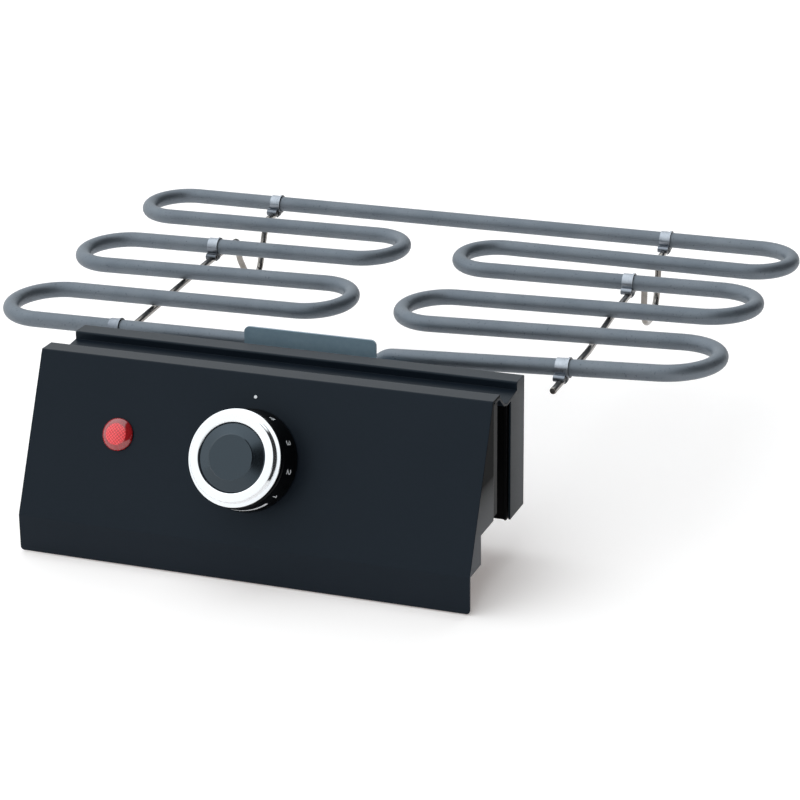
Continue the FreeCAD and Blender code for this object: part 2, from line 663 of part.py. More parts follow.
shaft = new_body("thermostat_shaft")
pad(shaft, "shaft_rod", None, 23.2, role="XY_Plane", mid=False, offset=-9.0, rounds=[(0.0, 0.0, "shaft_r")])
shaft.Placement = KNOB

thermo = new_body("thermostat_body")
pad(thermo, "thermo_case", [(-19.0, -15.0), (19.0, -15.0), (19.0, 15.0), (-19.0, 15.0)], 17.0,
    role="XY_Plane", mid=False, offset=-18.0)
pocket(thermo, "thermo_bore", None, 9.0, role="XY_Plane", mid=False, offset=-1.0,
       rounds=[(0.0, 0.0, "shaft_r+0.05")])
pocket(thermo, "thermo_screw_bores", None, 7.0, role="XY_Plane", mid=False, offset=-1.0,
       rounds=[(-14.0, 0.0, 1.93), (14.0, 0.0, 1.93)])
thermo.Tip = thermo.Group[-1]
thermo.Placement = KNOB

tabs = [box(19.0, 27.0, -3.15, 3.15, -12.4, -11.6), box(-27.0, -19.0, -3.15, 3.15, -12.4, -11.6)]
feature("thermostat_tabs", Part.makeCompound(tabs), KNOB)

scr = []
for x in (-14.0, 14.0):
    head = Part.makeCylinder(3.6, 1.9, V(x, 0, 0.02))
    head = head.makeFillet(0.7, [e for e in head.Edges if abs(e.BoundBox.ZMin - 1.92) < 0.01 and e.BoundBox.ZLength < 0.01])
    slotx = box(x - 2.6, x + 2.6, -0.4, 0.4, 1.2, 3.0).fuse(box(x - 0.4, x + 0.4, -2.6, 2.6, 1.2, 3.0))
    scr.append(head.cut(slotx).fuse(Part.makeCylinder(1.9, 6.5, V(x, 0, -6.48))).removeSplitter())
feature("thermostat_screws", Part.makeCompound(scr), KNOB)

# ---------------------------------------------------------------- pilot lamp
lens = new_body("lamp_lens")
revolve(lens, "lens_profile", [
    (0.0, 1.1), (5.3, 1.1), (5.3, 0.02), (7.9, 0.02), (7.9, 1.0), (7.5, 1.5), (7.1, 3.2),
    (6.3, 4.5), (5.0, 5.0), (0.0, "lens_top")])
lens.Placement = LAMP

lbody = new_body("lamp_body")
revolve(lbody, "lamp_profile", [
    (0.0, -14.0), (4.6, -14.0), (4.6, -9.0), ("lamp_hole_r", -9.0), ("lamp_hole_r", -0.05), (5.2, 0.0),
    (5.2, 1.0), (0.0, 1.0)])
lbody.Placement = LAMP

lclip = Part.makeCylinder(8.6, 0.8, V(0, 0, -1.85)).cut(Part.makeCylinder(6.04, 3.0, V(0, 0, -3.0)))
for k in range(6):
    notch = box(5.5, 7.0, -0.6, 0.6, -3, 0)
    notch.rotate(V(0, 0, 0), V(0, 0, 1), 60 * k)
    lclip = lclip.cut(notch)
feature("lamp_clip", lclip, LAMP)

# setting mark on the panel above the knob
mark = Part.makeCylinder(0.8, 0.2, V(0, 0, 0.01))
feature("setting_mark", mark, panel_place(-1.1, dim("dot_v")))

# ---------------------------------------------------------------- cord inlet
gz = dim("knee_z") + 0.04
gland = Part.makeCylinder(6.4, 2.0, V(-92, -41.5, gz - 2.02)).fuse(
    Part.makeCylinder(4.6, 8.0, V(-92, -41.5, gz - 1.0)))
gland = gland.cut(Part.makeCylinder(dim("cord_r"), 40.0, V(-92, -41.5, gz - 20)))
feature("cord_gland", gland.removeSplitter())
feature("gland_nut", hexagon(V(0, 0, 0), 11.6, 3.2, 4.64),
        Placement(V(-92, -41.5, gz + 1.04), Rotation(V(0, 0, 1), 30) * Rotation(V(1, 0, 0), 90)))

# ---------------------------------------------------------------- inside the control housing
tb = box(-104, -76, -24.0, -10.2, -38.0, -24.0)
for k in range(3):
    tb = tb.cut(Part.makeCylinder(1.9, 6.0, V(-99 + 9 * k, -17, -29.9), V(0, 0, 1)))
    tb = tb.cut(Part.makeCylinder(1.6, 8.0, V(-99 + 9 * k, -24.5, -31), V(0, 1, 0)))
feature("terminal_block", tb)
tbs = []
for k in range(3):
    tbs.append(Part.makeCylinder(1.85, 4.6, V(-99 + 9 * k, -17, -29.8), V(0, 0, 1)).cut(
        box(-99 + 9 * k - 2.5, -99 + 9 * k + 2.5, -17.35, -16.65, -26.2, -24)))
feature("terminal_screws", Part.makeCompound(tbs))

ms = box(50.0, 70.0, -19.5, -9.0, -19.0, -9.0)
ms = ms.cut(Part.makeCylinder(2.56, 8.2, V(60, -17.2, -14.0), V(0, 1, 0)))
ms = ms.cut(Part.makeCylinder(1.2, 30.0, V(53.5, -25, -11.0), V(0, 1, 0)))
ms = ms.cut(Part.makeCylinder(1.2, 30.0, V(66.5, -25, -17.0), V(0, 1, 0)))
feature("safety_switch", ms)
pl = Part.makeCylinder(2.5, 9.6, V(60, -13.9, -14.0), V(0, 1, 0))
pl = pl.makeFillet(1.2, [e for e in pl.Edges if abs(e.BoundBox.YMin + 4.3) < 0.01 and e.BoundBox.YLength < 0.01])
feature("safety_plunger", pl)

# ---------------------------------------------------------------- inside the rear box
lim = Part.makeCylinder(8.0, 5.5, V(0, 22.6, -14.0), V(0, 1, 0)).fuse(box(-12, 12, 27.1, 28.1, -18, -10))
feature("thermal_cutout", lim.removeSplitter())

posts = []
for x in (-95.0, 95.0):
    for z in (-46.0, 0.0):
        posts.append(Part.makeCylinder(3.0, dim("rear_y") - T - SR - T - 0.04, V(x, SR + T + 0.02, z), V(0, 1, 0)).cut(
            Part.makeCylinder(1.47, 14.0, V(x, 16.0, z), V(0, 1, 0))))
feature("spacer_posts", Part.makeCompound(posts))


def rear_screw(x, z, y0, depth):
    head = Part.makeCylinder(2.9, 1.8, V(x, y0, z), V(0, 1, 0))
    head = head.makeFillet(0.8, [e for e in head.Edges if abs(e.BoundBox.YMin - y0 - 1.8) < 0.01 and e.BoundBox.YLength < 0.01])
    cross = box(x - 2.0, x + 2.0, y0 + 0.9, y0 + 3, z - 0.35, z + 0.35).fuse(
        box(x - 0.35, x + 0.35, y0 + 0.9, y0 + 3, z - 2.0, z + 2.0))
    return head.cut(cross).fuse(Part.makeCylinder(1.45, depth, V(x, y0 - depth, z), V(0, 1, 0))).removeSplitter()


RYO = dim("rear_y")
feature("case_screws", Part.makeCompound(
    [rear_screw(x, z, RYO + 0.02, 11.0) for x in (-95.0, 95.0) for z in (-46.0, 0.0)]))
feature("bracket_screws", Part.makeCompound(
    [rear_screw(x, -45.0, RYO + 0.04 + dim("shield_t"), 7.0) for x in (-22.0, 22.0)]))

earth = box(70.0, 82.0, 26.9, 28.1, -33.0, -27.0).cut(Part.makeCylinder(1.6, 6, V(79, 24, -30), V(0, 1, 0)))
earth = earth.fuse(box(68.9, 70.1, 19.0, 28.1, -33.0, -27.0))
feature("earth_tab", earth.removeSplitter())

# ---------------------------------------------------------------- internal leads
LEAD = 1.1


def lead(name, pts, rad):
    feature(name, swept(pts, rad, LEAD))


tab_r = KNOB.multVec(V(27.05, 0, -12.0))
tab_l = KNOB.multVec(V(-27.05, 0, -12.0))
lead("lead_supply", [(-81.0, -24.1, -31.0), (-81.0, -31.0, -31.0), (-60.0, -31.0, -31.0),
                     (-50.0, tab_l.y, tab_l.z), (tab_l.x, tab_l.y, tab_l.z)], [3.0, 3.0, 5.0])
lead("lead_switch", [(tab_r.x, tab_r.y, tab_r.z), (44.0, tab_r.y, tab_r.z), (53.5, -26.0, -11.0),
                     (53.5, -19.55, -11.0)], [5.0, 3.0])
lead("lead_element_right", [(66.5, -19.55, -17.0), (66.5, -22.5, -17.0), (66.5, -22.5, -5.0), (60.0, -14.0, 3.0),
                            (12.0, -14.0, 2.9), (12.0, 14.6, 2.9), (25.5, 14.6, -16.0), (25.5, 14.6, -23.6)],
     [1.6, 5.0, 5.0, 5.0, 5.0, 5.0])
lead("lead_element_left", [(-90.0, -24.1, -31.0), (-90.0, -26.6, -31.0), (-90.0, -24.5, -10.0), (-84.0, -14.0, 2.9),
                           (-12.0, -14.0, 2.9), (-12.0, 14.6, 2.9), (-25.5, 14.6, -16.0), (-25.5, 14.6, -23.6)],
     [1.4, 5.0, 5.0, 5.0, 5.0, 5.0])

# ---------------------------------------------------------------- check and write
doc.recompute()
bad = []
for o in doc.Objects:
    if "Invalid" in o.State or "Error" in o.State:
        bad.append((o.Name, list(o.State)))
for o in NODES:
    if o.Shape.isNull() or not o.Shape.isValid() or o.Shape.Volume <= 0 or not o.Shape.Solids:
        bad.append((o.Label, "shape"))
if bad:
    raise RuntimeError("failed objects: %s" % bad)
labels = [o.Label for o in NODES]
if len(set(labels)) != len(labels) or len(labels) > 60:
    raise RuntimeError("labels")
os.makedirs("parts", exist_ok=True)
for o in NODES:
    o.Shape.exportStep("parts/%s.step" % o.Label)
    bb = o.Shape.BoundBox
    print("%-22s %2d solid(s) %10.1f mm3  x %.1f..%.1f y %.1f..%.1f z %.1f..%.1f" % (
        o.Label, len(o.Shape.Solids), o.Shape.Volume, bb.XMin, bb.XMax, bb.YMin, bb.YMax, bb.ZMin, bb.ZMax))
print(len(NODES), "nodes", "panel normal", normal, "lean", LEAN, "knob", KNOB.Base, "lamp", LAMP.Base)
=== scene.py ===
import math

import bmesh
import bpy
import numpy as np
from mathutils import Matrix, Vector


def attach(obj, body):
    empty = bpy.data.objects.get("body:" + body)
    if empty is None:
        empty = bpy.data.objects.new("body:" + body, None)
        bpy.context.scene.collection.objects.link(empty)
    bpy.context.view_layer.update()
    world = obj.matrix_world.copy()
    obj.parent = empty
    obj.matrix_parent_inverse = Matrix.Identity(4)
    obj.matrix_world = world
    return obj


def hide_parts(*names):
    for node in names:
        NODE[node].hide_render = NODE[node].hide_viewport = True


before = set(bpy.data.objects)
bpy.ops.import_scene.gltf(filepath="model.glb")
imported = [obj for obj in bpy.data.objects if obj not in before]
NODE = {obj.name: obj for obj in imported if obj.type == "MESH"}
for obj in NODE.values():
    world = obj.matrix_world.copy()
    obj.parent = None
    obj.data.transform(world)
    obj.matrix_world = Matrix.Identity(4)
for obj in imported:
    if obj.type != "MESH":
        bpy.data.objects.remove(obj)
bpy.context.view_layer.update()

SCENE = bpy.context.scene
MM = 0.001


# ------------------------------------------------------------------ material kit
class Mat:
    """A Principled material whose colour, roughness and relief come from object-space noise."""

    def __init__(self, name):
        self.m = bpy.data.materials.new(name)
        self.m.use_nodes = True
        self.t = self.m.node_tree
        self.t.nodes.clear()
        self.out = self.t.nodes.new("ShaderNodeOutputMaterial")
        self.b = self.t.nodes.new("ShaderNodeBsdfPrincipled")
        self.t.links.new(self.b.outputs["BSDF"], self.out.inputs["Surface"])
        self.co = self.t.nodes.new("ShaderNodeTexCoord").outputs["Object"]

    def node(self, kind, **props):
        n = self.t.nodes.new(kind)
        for k, v in props.items():
            setattr(n, k, v)
        return n

    def link(self, a, b):
        self.t.links.new(a, b)

    def set(self, **values):
        for k, v in values.items():
            self.b.inputs[k.replace("_", " ")].default_value = v
        return self

    def noise(self, scale, detail=4.0, rough=0.55, stretch=(1, 1, 1), distortion=0.0):
        mp = self.node("ShaderNodeMapping")
        mp.inputs["Scale"].default_value = stretch
        self.link(self.co, mp.inputs["Vector"])
        n = self.node("ShaderNodeTexNoise")
        n.inputs["Scale"].default_value = scale
        n.inputs["Detail"].default_value = detail
        n.inputs["Roughness"].default_value = rough
        n.inputs["Distortion"].default_value = distortion
        self.link(mp.outputs["Vector"], n.inputs["Vector"])
        return n.outputs["Fac"]

    def ramp(self, fac, stops):
        r = self.node("ShaderNodeValToRGB")
        e = r.color_ramp.elements
        while len(e) < len(stops):
            e.new(0.5)
        for el, (p, c) in zip(e, stops):
            el.position = p
            el.color = (*c, 1.0) if len(c) == 3 else c
        self.link(fac, r.inputs["Fac"])
        return r.outputs["Color"]

    def mix(self, fac, a, b, mode="MIX"):
        n = self.node("ShaderNodeMix", data_type="RGBA", blend_type=mode)
        for sock, val in ((n.inputs[0], fac), (n.inputs[6], a), (n.inputs[7], b)):
            if hasattr(val, "default_value") or hasattr(val, "is_linked"):
                self.link(val, sock)
            elif isinstance(val, (int, float)):
                sock.default_value = val
            else:
                sock.default_value = (*val, 1.0) if len(val) == 3 else val
        return n.outputs[2]

    def math(self, op, a, b=0.0, clamp=False):
        n = self.node("ShaderNodeMath", operation=op, use_clamp=clamp)
        for sock, val in ((n.inputs[0], a), (n.inputs[1], b)):
            if isinstance(val, (int, float)):
                sock.default_value = val
            else:
                self.link(val, sock)
        return n.outputs[0]

    def spread(self, fac, lo, hi):
        n = self.node("ShaderNodeMapRange")
        n.inputs["From Min"].default_value = 0.3
        n.inputs["From Max"].default_value = 0.7
        n.inputs["To Min"].default_value = lo
        n.inputs["To Max"].default_value = hi
        self.link(fac, n.inputs["Value"])
        return n.outputs["Result"]

    def color(self, c):
        self.link(c, self.b.inputs["Base Color"])
        return self

    def rough(self, r):
        self.link(r, self.b.inputs["Roughness"])
        return self

    def bump(self, height, strength, distance):
        n = self.node("ShaderNodeBump")
        n.inputs["Strength"].default_value = strength
        n.inputs["Distance"].default_value = distance
        self.link(height, n.inputs["Height"])
        self.link(n.outputs["Normal"], self.b.inputs["Normal"])
        return self


def grained(name, dark, light, rough=(0.3, 0.4), metal=0.0, fine=900.0, bump=0.05, dist=0.00005,
            blotch=22.0, stretch=(1, 1, 1), spec=0.5, coat=0.0, coat_rough=0.1):
    m = Mat(name)
    big = m.noise(blotch, 5.0, 0.6)
    small = m.noise(fine, 3.0, 0.6, stretch)
    both = m.mix(0.35, big, small)
    m.color(m.ramp(both, [(0.32, dark), (0.68, light)]))
    m.rough(m.spread(m.mix(0.5, big, small), *rough))
    m.bump(small, bump, dist)
    m.set(Metallic=metal)
    m.b.inputs["Specular IOR Level"].default_value = spec
    m.b.inputs["Coat Weight"].default_value = coat
    m.b.inputs["Coat Roughness"].default_value = coat_rough
    return m


def satin_paint(name, dark, light, rough, spec, edge=0.0005, painted_end_shade=None, axis="Z"):
    """Baked enamel: a cloudy tone, fine orange peel, a trace of dust, softened folds, and optional painted shade
    that darkens the end faces towards one end.
    """
    m = Mat(name)
    cloud = m.noise(9.0, 4.0, 0.55)
    grain = m.noise(1500.0, 3.0, 0.6)
    dust = m.noise(4200.0, 2.0, 0.5)
    tone = m.ramp(m.mix(0.3, cloud, grain), [(0.30, dark), (0.70, light)])
    specks = m.ramp(dust, [(0.70, (0.0, 0.0, 0.0)), (0.80, (0.010, 0.011, 0.012))])
    tone = m.mix(1.0, tone, specks, "ADD")
    m.b.inputs["Specular IOR Level"].default_value = spec
    m.b.inputs["Specular Tint"].default_value = (0.83, 1.0, 1.12, 1.0)
    if painted_end_shade:
        # painted shade and painted reflection: the end faces' colour and specular are scaled along one axis, darker
        # towards one end than the other
        z0, z1, low, high = painted_end_shade
        face = m.node("ShaderNodeSeparateXYZ")
        m.link(m.t.nodes.new("ShaderNodeTexCoord").outputs["Normal"], face.inputs[0])
        place = m.node("ShaderNodeSeparateXYZ")
        m.link(m.co, place.inputs[0])
        end = m.node("ShaderNodeMapRange", interpolation_type="SMOOTHSTEP")
        end.inputs["From Min"].default_value = 0.6
        end.inputs["From Max"].default_value = 0.9
        m.link(m.math("ABSOLUTE", face.outputs["X"]), end.inputs["Value"])
        lift = m.node("ShaderNodeMapRange")
        lift.inputs["From Min"].default_value = z0
        lift.inputs["From Max"].default_value = z1
        lift.inputs["To Min"].default_value = low
        lift.inputs["To Max"].default_value = high
        m.link(place.outputs[axis], lift.inputs["Value"])
        painted_shade_gain = m.node("ShaderNodeMix", data_type="FLOAT")
        m.link(end.outputs["Result"], painted_shade_gain.inputs[0])
        painted_shade_gain.inputs[2].default_value = 1.0
        m.link(lift.outputs["Result"], painted_shade_gain.inputs[3])
        m.link(m.math("MULTIPLY", painted_shade_gain.outputs[0], spec), m.b.inputs["Specular IOR Level"])
        scaled = m.node("ShaderNodeVectorMath", operation="SCALE")
        m.link(tone, scaled.inputs[0])
        m.link(painted_shade_gain.outputs[0], scaled.inputs["Scale"])
        tone = scaled.outputs[0]
    m.color(tone)
    m.rough(m.spread(m.mix(0.5, cloud, grain), *rough))
    bv = m.node("ShaderNodeBevel")
    bv.samples = 4
    bv.inputs["Radius"].default_value = edge
    n = m.node("ShaderNodeBump")
    n.inputs["Strength"].default_value = 0.10
    n.inputs["Distance"].default_value = 0.00004
    m.link(grain, n.inputs["Height"])
    m.link(bv.outputs["Normal"], n.inputs["Normal"])
    m.link(n.outputs["Normal"], m.b.inputs["Normal"])
    return m


def heater_sheath(name):
    """Annealed tube: cool slate with drawn streaks, heat cloud and small oxide specks."""
    m = Mat(name)
    cloud = m.noise(45.0, 5.0, 0.62)
    streak = m.noise(160.0, 4.0, 0.6, (0.06, 1.0, 1.0))
    grain = m.noise(1700.0, 3.0, 0.6)
    tone = m.ramp(m.mix(0.45, cloud, streak), [(0.30, (0.114, 0.136, 0.160)), (0.52, (0.148, 0.171, 0.196)),
                                               (0.72, (0.184, 0.206, 0.230))])
    specks = m.ramp(m.noise(900.0, 2.0, 0.5), [(0.28, (0.55, 0.56, 0.58)), (0.36, (1.0, 1.0, 1.0))])
    m.color(m.mix(0.8, tone, specks, "MULTIPLY"))
    m.rough(m.spread(m.mix(0.5, streak, grain), 0.42, 0.56))
    m.bump(m.mix(0.4, streak, grain), 0.22, 0.00008)
    m.set(Metallic=0.65)
    return m


def strap_steel(name):
    """Bright strap with painted shade: the faces square to the tube are painted near black as a dark reflection, and
    the strap is painted darker towards its bottom.
    """
    m = Mat(name)
    blotch = m.noise(260.0, 4.0, 0.6)
    grain = m.noise(1400.0, 3.0, 0.6)
    tone = m.ramp(m.mix(0.4, blotch, grain), [(0.30, (0.25, 0.275, 0.31)), (0.70, (0.42, 0.45, 0.49))])
    # painted reflection: faces that face along the tube are painted near black
    sep = m.node("ShaderNodeSeparateXYZ")
    m.link(m.t.nodes.new("ShaderNodeTexCoord").outputs["Normal"], sep.inputs[0])
    side = m.math("ABSOLUTE", sep.outputs["X"])
    cuts_and_painted_edge = m.node("ShaderNodeMapRange")
    cuts_and_painted_edge.inputs["From Min"].default_value = 0.55
    cuts_and_painted_edge.inputs["From Max"].default_value = 0.80
    m.link(side, cuts_and_painted_edge.inputs["Value"])
    # painted shade: the strap is darkened towards its bottom, darkest below the tube
    place = m.node("ShaderNodeSeparateXYZ")
    m.link(m.co, place.inputs[0])
    lift = m.node("ShaderNodeMapRange")
    lift.inputs["From Min"].default_value = -0.0050
    lift.inputs["From Max"].default_value = 0.0050
    m.link(place.outputs["Z"], lift.inputs["Value"])
    painted_low_shade = m.ramp(lift.outputs["Result"], [(0.0, (0.26, 0.27, 0.28)), (0.35, (0.50, 0.51, 0.53)), (0.85, (1.0, 1.0, 1.0))])
    tone = m.mix(1.0, tone, painted_low_shade, "MULTIPLY")
    m.color(m.mix(cuts_and_painted_edge.outputs["Result"], tone, (0.012, 0.014, 0.018)))
    m.rough(m.spread(m.mix(0.5, blotch, grain), 0.24, 0.38))
    m.bump(grain, 0.08, 0.00004)
    m.set(Metallic=0.9)
    return m


# painted shade: the cover's end faces darken towards the top, the rear cover's end faces towards the front
cover_paint = satin_paint("cover_enamel", (0.0058, 0.0088, 0.0138), (0.0086, 0.0120, 0.0176), (0.30, 0.38), 0.13,
                          painted_end_shade=(-0.062, -0.022, 2.2, 0.05))
rear_paint = satin_paint("rear_enamel", (0.0060, 0.0100, 0.0156), (0.0088, 0.0134, 0.0200), (0.32, 0.42), 0.13,
                         painted_end_shade=(0.002, 0.026, 0.40, 0.95), axis="Y")
dark_sheet = grained("dark_sheet", (0.0010, 0.0012, 0.0018), (0.0020, 0.0022, 0.0030), (0.45, 0.55), 0.0, 1100.0,
                     0.12, spec=0.10)
plain_steel = grained("plain_steel", (0.42, 0.42, 0.41), (0.58, 0.58, 0.56), (0.28, 0.42), 1.0, 700.0, 0.15,
                      0.00005, 30.0, (6, 1, 1))
zinc = grained("zinc_plate", (0.46, 0.46, 0.42), (0.66, 0.65, 0.60), (0.25, 0.38), 1.0, 900.0, 0.12)
shield_sheet = grained("shield_sheet", (0.180, 0.270, 0.335), (0.235, 0.335, 0.400), (0.42, 0.52), 0.1, 500.0, 0.10,
                       blotch=40.0)
tube_steel = heater_sheath("tube_steel")
wire_steel = grained("wire_steel", (0.16, 0.145, 0.13), (0.34, 0.32, 0.30), (0.14, 0.26), 1.0, 500.0, 0.12,
                     0.00005, 90.0)
clip_steel = strap_steel("clip_steel")
knob_black = grained("knob_black", (0.0012, 0.0014, 0.0018), (0.0024, 0.0026, 0.0032), (0.34, 0.44), 0.0, 1500.0,
                     0.12, spec=0.16)
chrome = grained("knob_chrome", (0.80, 0.81, 0.82), (0.87, 0.88, 0.89), (0.05, 0.09), 1.0, 1500.0, 0.01)
cap_gloss = grained("cap_gloss", (0.0010, 0.0016, 0.0024), (0.0020, 0.0030, 0.0042), (0.12, 0.18), 0.0, 900.0, 0.03,
                    0.00003, 30.0, spec=0.70)
cap_gloss.b.inputs["Specular Tint"].default_value = (0.80, 1.0, 1.16, 1.0)
black_plastic = grained("black_plastic", (0.010, 0.010, 0.011), (0.018, 0.018, 0.019), (0.4, 0.5), 0.0, 1200.0, 0.15)
cream_plastic = grained("cream_plastic", (0.55, 0.53, 0.48), (0.66, 0.64, 0.58), (0.35, 0.45), 0.0, 900.0, 0.10)
steatite = grained("steatite", (0.62, 0.59, 0.52), (0.74, 0.71, 0.64), (0.45, 0.6), 0.0, 900.0, 0.2)
white_print = grained("white_print", (0.74, 0.76, 0.78), (0.86, 0.88, 0.90), (0.45, 0.55), 0.0, 1500.0, 0.05)
sleeve = grained("sleeve", (0.50, 0.48, 0.45), (0.62, 0.60, 0.56), (0.5, 0.6), 0.0, 2500.0, 0.3)
seal_red = grained("seal_red", (0.30, 0.09, 0.05), (0.42, 0.14, 0.08), (0.45, 0.6), 0.0, 900.0, 0.2)
brass = grained("brass", (0.60, 0.42, 0.16), (0.78, 0.58, 0.26), (0.22, 0.34), 1.0, 900.0, 0.1)
lens_rim = grained("lens_rim", (0.26, 0.004, 0.007), (0.38, 0.008, 0.012), (0.10, 0.16), 0.0, 700.0, 0.04,
                   coat=0.8, coat_rough=0.10)
lens_rim.b.inputs["Coat IOR"].default_value = 1.62


def lens_window(name):
    """Lit coral lens with diagonal cuts that leave small diamonds."""
    m = Mat(name)
    fine = m.noise(1600.0, 3.0, 0.6)
    tone = m.ramp(fine, [(0.3, (0.78, 0.040, 0.052)), (0.7, (0.94, 0.084, 0.096))])
    lines = None
    for a in (DIAG_A, DIAG_B):
        d = m.node("ShaderNodeVectorMath", operation="DOT_PRODUCT")
        m.link(m.co, d.inputs[0])
        d.inputs[1].default_value = a
        f = m.math("PINGPONG", m.math("DIVIDE", d.outputs["Value"], CUT_PITCH), 0.5)
        lines = f if lines is None else m.math("MINIMUM", lines, f)
    cuts_and_painted_edge = m.ramp(lines, [(0.02, (0.42, 0.20, 0.22)), (0.20, (1.0, 1.0, 1.0))])
    m.color(m.mix(1.0, tone, cuts_and_painted_edge, "MULTIPLY"))
    m.rough(m.spread(fine, 0.14, 0.22))
    m.bump(lines, 0.35, 0.0003)
    m.b.inputs["Emission Color"].default_value = (1.0, 0.085, 0.100, 1.0)
    m.b.inputs["Emission Strength"].default_value = 0.09
    m.b.inputs["Coat Weight"].default_value = 0.25
    m.b.inputs["Coat Roughness"].default_value = 0.12
    return m


CUT_PITCH = 0.00122
DIAG_A = Vector((1.0, 0.4116660, 0.9113348)) / math.sqrt(2.0)
DIAG_B = Vector((1.0, -0.4116660, -0.9113348)) / math.sqrt(2.0)
lens_glow = lens_window("lens_glow")

LOOK = {
    "front_cover": cover_paint, "control_housing": dark_sheet, "rear_cover": rear_paint,
    "slot_rear_plate": dark_sheet, "slot_ceiling": dark_sheet, "rear_bottom_plate": dark_sheet,
    "element_bracket": shield_sheet, "heating_tube": tube_steel, "element_seal_left": seal_red,
    "element_seal_right": seal_red, "terminal_pin_left": plain_steel, "terminal_pin_right": plain_steel,
    "leg_bushing_left": zinc, "leg_bushing_right": zinc, "leg_nuts": zinc, "support_wire_right": wire_steel,
    "support_wire_left": wire_steel, "element_clips_right": clip_steel, "element_clips_left": clip_steel,
    "knob_body": knob_black, "knob_ring": chrome, "knob_cap": cap_gloss, "thermostat_shaft": plain_steel,
    "thermostat_body": steatite, "thermostat_tabs": plain_steel, "thermostat_screws": zinc,
    "lamp_lens": lens_rim, "lamp_body": black_plastic, "lamp_clip": plain_steel, "setting_mark": white_print,
    "cord_gland": black_plastic, "gland_nut": black_plastic, "terminal_block": cream_plastic,
    "terminal_screws": brass, "safety_switch": black_plastic, "safety_plunger": cream_plastic,
    "thermal_cutout": steatite, "spacer_posts": zinc, "case_screws": zinc, "bracket_screws": zinc,
    "earth_tab": brass, "lead_supply": sleeve, "lead_switch": sleeve, "lead_element_right": sleeve,
    "lead_element_left": sleeve,
}
for name, obj in NODE.items():
    look = LOOK.get(name, plain_steel)
    obj.data.materials.clear()
    obj.data.materials.append(look.m)


# ------------------------------------------------------------------ panel frame
NORMAL = Vector((0.0, -0.9113348, 0.4116660))
UP = Vector((0.0, 0.4116660, 0.9113348))
KNOB = Vector((0.0, -34.687, -22.9736))
LAMP = Vector((-68.7, -32.917, -19.0549))


def at_panel(base, x, u, h):
    """A point beside the knob's or the lamp's middle: x across, u up the panel, h out of it, in metres."""
    return (base + Vector((1, 0, 0)) * x + UP * u + NORMAL * h) * MM


def piece(name, verts, faces, body, looks, which=None, smooth=True):
    me = bpy.data.meshes.new(name)
    me.from_pydata([tuple(v) for v in verts], [], faces)
    for look in looks:
        me.materials.append(look.m)
    if which:
        for p, k in zip(me.polygons, which):
            p.material_index = k
    bm = bmesh.new()
    bm.from_mesh(me)
    bmesh.ops.recalc_face_normals(bm, faces=bm.faces)
    bm.to_mesh(me)
    bm.free()
    for p in me.polygons:
        p.use_smooth = smooth
    o = bpy.data.objects.new(name, me)
    SCENE.collection.objects.link(o)
    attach(o, body)
    return o


# ------------------------------------------------------------------ numerals and rising arc on the skirt
def skirt_r(h):
    """Radius of the knob's skirt at height h."""
    return 24.35 + (22.95 - 24.35) * (h - 3.2) / (13.9 - 3.2)


STROKES = {
    "1": [[(-0.9, 3.4), (0.35, 5.0), (0.35, 0.0)]],
    "2": [[(-1.3, 3.9), (-0.9, 4.7), (0.0, 5.0), (0.9, 4.7), (1.3, 3.8), (1.0, 2.8), (-0.3, 1.3), (-1.35, 0.0),
           (1.4, 0.0)]],
    "3": [[(-1.2, 4.3), (-0.5, 4.95), (0.4, 4.95), (1.15, 4.3), (1.1, 3.3), (0.4, 2.7), (-0.2, 2.65)],
          [(0.4, 2.7), (1.2, 2.1), (1.35, 1.2), (0.8, 0.25), (-0.3, 0.0), (-1.35, 0.7)]],
    "4": [[(0.7, 0.0), (0.7, 5.0), (-1.4, 1.5), (1.5, 1.5)]],
}


def on_skirt(theta, h, lift):
    r = skirt_r(h) + lift
    return at_panel(KNOB, r * math.cos(theta), r * math.sin(theta), h)


def ribbon(path, width, closed_ends=True):
    """Outline points of a stroke of even width along a path in the flat."""
    out_l, out_r = [], []
    n = len(path)
    for i, p in enumerate(path):
        a = path[max(i - 1, 0)]
        b = path[min(i + 1, n - 1)]
        d = Vector((b[0] - a[0], b[1] - a[1])).normalized()
        nrm = Vector((-d.y, d.x))
        if 0 < i < n - 1:
            d1 = Vector((p[0] - a[0], p[1] - a[1])).normalized()
            c = max(0.5, nrm.dot(Vector((-d1.y, d1.x))))
        else:
            c = 1.0
        out_l.append((p[0] + nrm.x * width / c, p[1] + nrm.y * width / c))
        out_r.append((p[0] - nrm.x * width / c, p[1] - nrm.y * width / c))
    return out_l, out_r


def resample(path, step):
    pts = []
    for a, b in zip(path, path[1:]):
        d = math.dist(a, b)
        k = max(1, int(d / step))
        for j in range(k):
            pts.append((a[0] + (b[0] - a[0]) * j / k, a[1] + (b[1] - a[1]) * j / k))
    pts.append(path[-1])
    return pts


